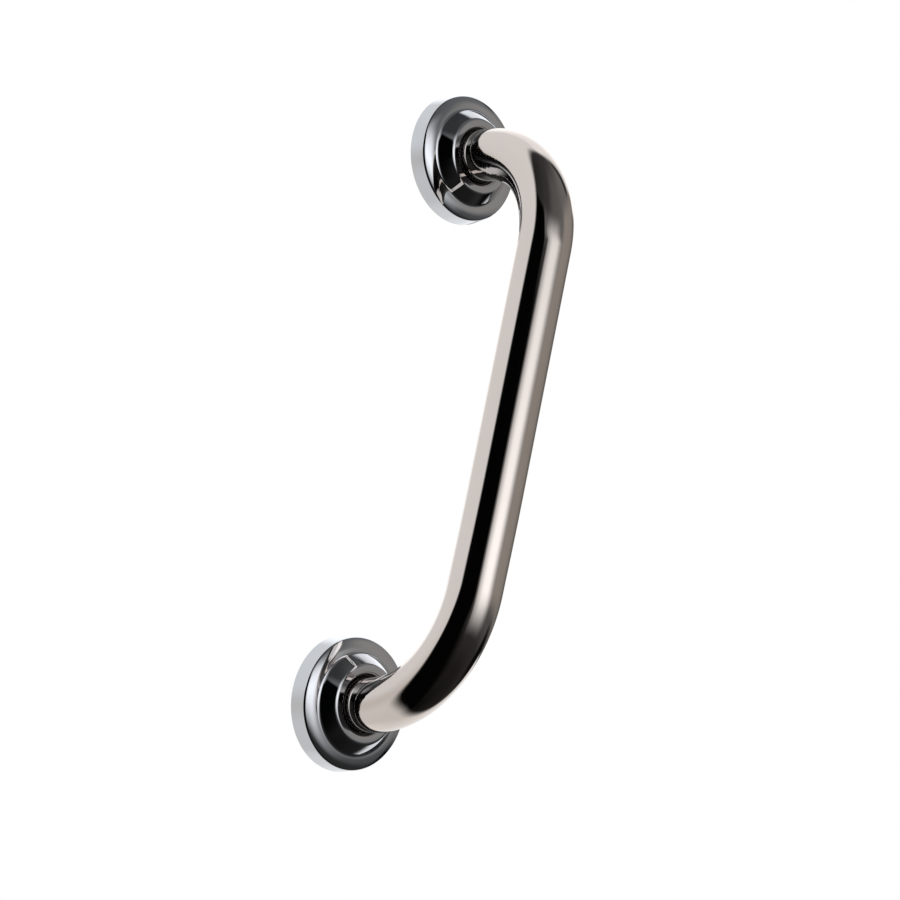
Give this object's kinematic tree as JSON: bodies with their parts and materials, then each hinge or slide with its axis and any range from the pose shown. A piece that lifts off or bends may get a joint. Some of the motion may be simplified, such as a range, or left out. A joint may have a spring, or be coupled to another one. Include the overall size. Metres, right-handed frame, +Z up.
{
  "type": "grab rail",
  "caption": "Bent round-tube grab rail held off the wall by two legs, each with a stepped round cover that slides and turns on the leg to hide a screwed wall plate.",
  "frame": {"origin": "centre of the lower wall plate, on the face that meets the wall", "axes": "+Z up along the grip towards the upper leg, +Y into the wall, so the rail stands out towards -Y, and +X to the right as seen from the room"},
  "size_m": [0.07, 0.094, 0.37],
  "materials": {
    "tube": "mirror-polished stainless steel, slightly warm",
    "cover": "bright chrome plating, slightly blue",
    "guide_ring": "black nylon",
    "plate": "turned stainless steel",
    "gasket": "flat black rubber sheet",
    "o_ring": "smooth black rubber",
    "insert": "turned steel",
    "screw": "satin stainless steel",
    "pin": "ground steel"
  },
  "bodies": {
    "rail": {"grip_tube": "tube", "upper_wall_plate": "plate", "lower_wall_plate": "plate", "upper_plate_gasket": "gasket", "lower_plate_gasket": "gasket", "upper_cover_o_ring": "o_ring", "lower_cover_o_ring": "o_ring", "upper_tube_insert": "insert", "lower_tube_insert": "insert", "upper_centre_screw": "screw", "lower_centre_screw": "screw", "upper_locating_pin": "pin", "lower_locating_pin": "pin"},
    "lower_guide": {"lower_guide_ring": "guide_ring"},
    "lower_cover_shell": {"lower_cover": "cover"},
    "upper_guide": {"upper_guide_ring": "guide_ring"},
    "upper_cover_shell": {"upper_cover": "cover"}
  },
  "joints": [
    {"name": "lower_cover_slide", "type": "slide", "parent": "rail", "child": "lower_guide", "axis": [0, -1, 0], "range_m": [0, 0.009]},
    {"name": "lower_cover_turn", "type": "hinge", "parent": "lower_guide", "child": "lower_cover_shell", "pos_m": [0, 0, 0], "axis": [0, -1, 0], "continuous": true},
    {"name": "upper_cover_slide", "type": "slide", "parent": "rail", "child": "upper_guide", "axis": [0, -1, 0], "range_m": [0, 0.009]},
    {"name": "upper_cover_turn", "type": "hinge", "parent": "upper_guide", "child": "upper_cover_shell", "pos_m": [0, 0, 0.3], "axis": [0, -1, 0], "continuous": true}
  ]
}
